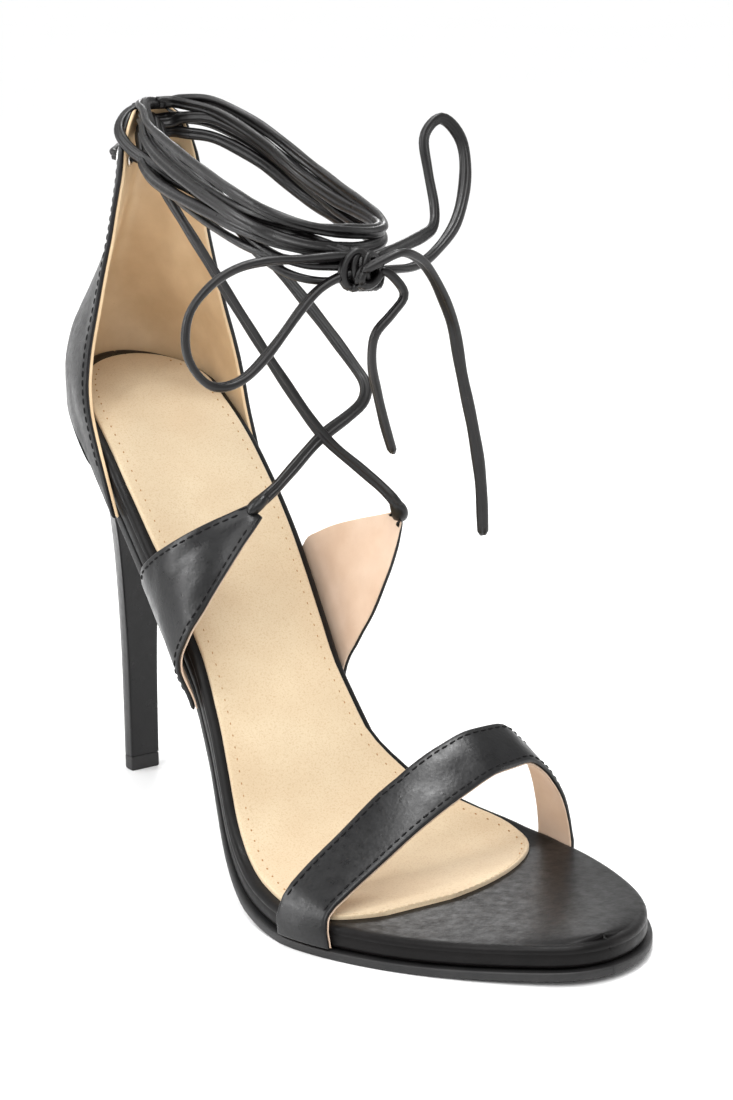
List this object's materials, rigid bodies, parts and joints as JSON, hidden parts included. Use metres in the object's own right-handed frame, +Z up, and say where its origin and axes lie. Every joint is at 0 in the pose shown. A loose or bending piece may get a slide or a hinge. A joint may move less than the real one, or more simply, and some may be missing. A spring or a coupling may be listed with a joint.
{
  "type": "lace up heeled sandal",
  "caption": "Black lace up stiletto sandal for the right foot, with a closed heel cup, a toe band, side flaps and laces tied in a bow",
  "frame": {"origin": "middle of the forefoot's resting spot, on the floor", "axes": "+Z up, the toe points to -Y, +X to the inner side of the foot"},
  "size_m": [0.0895, 0.212, 0.1867],
  "materials": {
    "upper_leather": "black grained leather, satin",
    "sole": "black, matte",
    "sock": "beige, napped",
    "eyelet_metal": "silver, polished",
    "lace": "black cord, folded and stitched"
  },
  "bodies": {
    "root": {"outsole": "sole", "footbed": "upper_leather", "sock_lining": "sock", "heel": "upper_leather", "heel_tip": "sole", "upper_counter": "upper_leather", "upper_toe_strap": "upper_leather", "upper_side_strap_lateral": "upper_leather", "upper_side_strap_medial": "upper_leather", "eyelet_lateral": "eyelet_metal", "eyelet_medial": "eyelet_metal", "lace_crossings": "lace", "lace_back_bridge": "lace", "lace_ankle_wraps": "lace", "lace_knot": "lace", "lace_loop_left": "lace", "lace_loop_right": "lace", "lace_end_left": "lace", "lace_end_right": "lace"}
  },
  "joints": []
}
